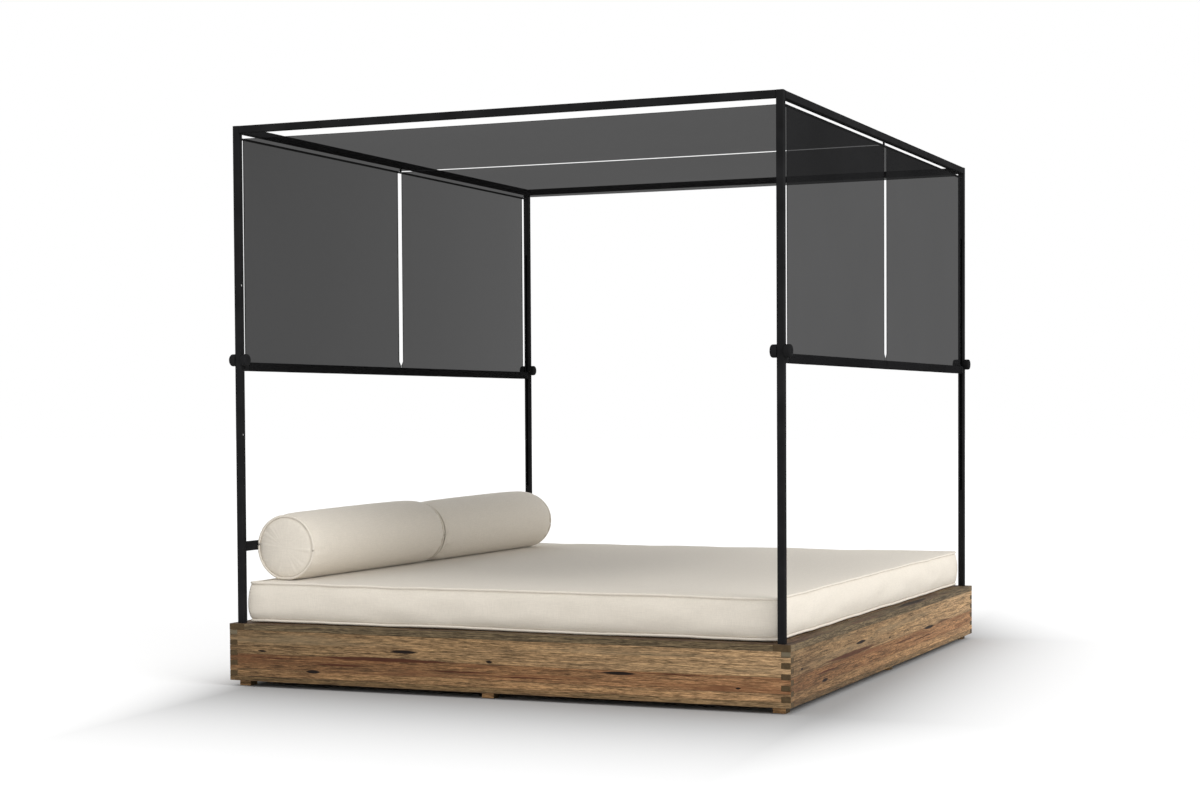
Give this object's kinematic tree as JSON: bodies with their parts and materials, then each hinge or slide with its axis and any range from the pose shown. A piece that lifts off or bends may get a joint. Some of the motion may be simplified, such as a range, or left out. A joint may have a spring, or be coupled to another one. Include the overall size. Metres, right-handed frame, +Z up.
{
  "type": "outdoor daybed",
  "caption": "Outdoor daybed: timber plinth, piped mattress and round bolsters under a steel box-section canopy frame with sliding shade cloth.",
  "frame": {"origin": "centre of the footprint, on the ground", "axes": "+X to the right seen from the front, +Y to the back, +Z up; the bolsters lie along -X"},
  "size_m": [2.1, 2.48, 1.992],
  "materials": {
    "wood": "satin",
    "capping_wood": "satin",
    "inner_wood": "matte",
    "frame_coat": "satin",
    "knob_plastic": "matte",
    "shade_cloth": "matte",
    "cushion_cover": "matte"
  },
  "bodies": {
    "root": {"plinth_board_front": "wood", "foot_front_middle": "wood", "capping_front": "capping_wood", "top_rail_front": "frame_coat", "plinth_board_rear": "wood", "foot_rear_middle": "wood", "capping_rear": "capping_wood", "top_rail_rear": "frame_coat", "plinth_board_left": "wood", "foot_left_middle": "wood", "capping_left": "capping_wood", "top_rail_left": "frame_coat", "plinth_board_right": "wood", "foot_right_middle": "wood", "capping_right": "capping_wood", "top_rail_right": "frame_coat", "foot_front_left": "wood", "post_front_left": "frame_coat", "drop_cloth_left_front": "shade_cloth", "foot_front_right": "wood", "post_front_right": "frame_coat", "drop_cloth_right_front": "shade_cloth", "ceiling_cloth_front": "shade_cloth", "foot_rear_left": "wood", "post_rear_left": "frame_coat", "drop_cloth_left_rear": "shade_cloth", "foot_rear_right": "wood", "post_rear_right": "frame_coat", "drop_cloth_right_rear": "shade_cloth", "ceiling_cloth_rear": "shade_cloth", "bearer_left": "inner_wood", "rod_left": "frame_coat", "bearer_right": "inner_wood", "rod_right": "frame_coat", "centre_beam": "inner_wood", "backrest_rail": "frame_coat", "deck_board_1": "inner_wood", "deck_board_2": "inner_wood", "deck_board_3": "inner_wood", "deck_board_4": "inner_wood", "deck_board_5": "inner_wood", "deck_board_6": "inner_wood"},
    "left_bar": {"bar_left": "frame_coat", "hem_sleeve_left_front": "shade_cloth", "hem_sleeve_left_rear": "shade_cloth"},
    "right_bar": {"bar_right": "frame_coat", "hem_sleeve_right_front": "shade_cloth", "hem_sleeve_right_rear": "shade_cloth"},
    "mattress": {"mattress": "cushion_cover"},
    "bolster_front": {"bolster_front": "cushion_cover"},
    "bolster_rear": {"bolster_rear": "cushion_cover"},
    "pin_front_left": {"pin_front_left": "knob_plastic"},
    "knob_front_left": {"knob_front_left": "knob_plastic"},
    "pin_front_right": {"pin_front_right": "knob_plastic"},
    "knob_front_right": {"knob_front_right": "knob_plastic"},
    "pin_rear_left": {"pin_rear_left": "knob_plastic"},
    "knob_rear_left": {"knob_rear_left": "knob_plastic"},
    "pin_rear_right": {"pin_rear_right": "knob_plastic"},
    "knob_rear_right": {"knob_rear_right": "knob_plastic"}
  },
  "joints": [
    {"name": "left_bar_slide", "type": "slide", "parent": "root", "child": "left_bar", "axis": [0, 0, 1], "range_m": [-0.485, 0.485], "deforming": ["drop_cloth_left_front", "drop_cloth_left_rear"]},
    {"name": "right_bar_slide", "type": "slide", "parent": "root", "child": "right_bar", "axis": [0, 0, 1], "range_m": [-0.485, 0.485], "deforming": ["drop_cloth_right_front", "drop_cloth_right_rear"]},
    {"name": "pin_front_left_turn", "type": "hinge", "parent": "root", "child": "pin_front_left", "pos_m": [-1.0125, -1.2125, 1.1625], "axis": [1, 0, 0], "continuous": true},
    {"name": "knob_front_left_turn", "type": "hinge", "parent": "pin_front_left", "child": "knob_front_left", "pos_m": [-1.0125, -1.2125, 1.1625], "axis": [1, 0, 0], "range_deg": [0, 1080]},
    {"name": "pin_front_right_turn", "type": "hinge", "parent": "root", "child": "pin_front_right", "pos_m": [1.0125, -1.2125, 1.1625], "axis": [1, 0, 0], "continuous": true},
    {"name": "knob_front_right_turn", "type": "hinge", "parent": "pin_front_right", "child": "knob_front_right", "pos_m": [1.0125, -1.2125, 1.1625], "axis": [1, 0, 0], "range_deg": [0, 1080]},
    {"name": "pin_rear_left_turn", "type": "hinge", "parent": "root", "child": "pin_rear_left", "pos_m": [-1.0125, 1.2125, 1.1625], "axis": [1, 0, 0], "continuous": true},
    {"name": "knob_rear_left_turn", "type": "hinge", "parent": "pin_rear_left", "child": "knob_rear_left", "pos_m": [-1.0125, 1.2125, 1.1625], "axis": [1, 0, 0], "range_deg": [0, 1080]},
    {"name": "pin_rear_right_turn", "type": "hinge", "parent": "root", "child": "pin_rear_right", "pos_m": [1.0125, 1.2125, 1.1625], "axis": [1, 0, 0], "continuous": true},
    {"name": "knob_rear_right_turn", "type": "hinge", "parent": "pin_rear_right", "child": "knob_rear_right", "pos_m": [1.0125, 1.2125, 1.1625], "axis": [1, 0, 0], "range_deg": [0, 1080]},
    {"name": "mattress_lift", "type": "slide", "parent": "root", "child": "mattress", "axis": [0, 0, 1], "range_m": [0, 0.2]},
    {"name": "bolster_front_lift", "type": "slide", "parent": "mattress", "child": "bolster_front", "axis": [0, 0, 1], "range_m": [0, 0.3]},
    {"name": "bolster_rear_lift", "type": "slide", "parent": "mattress", "child": "bolster_rear", "axis": [0, 0, 1], "range_m": [0, 0.3]}
  ],
  "couplings": [
    {"joint": "right_bar_slide", "follows": "left_bar_slide", "ratio": -1}
  ]
}
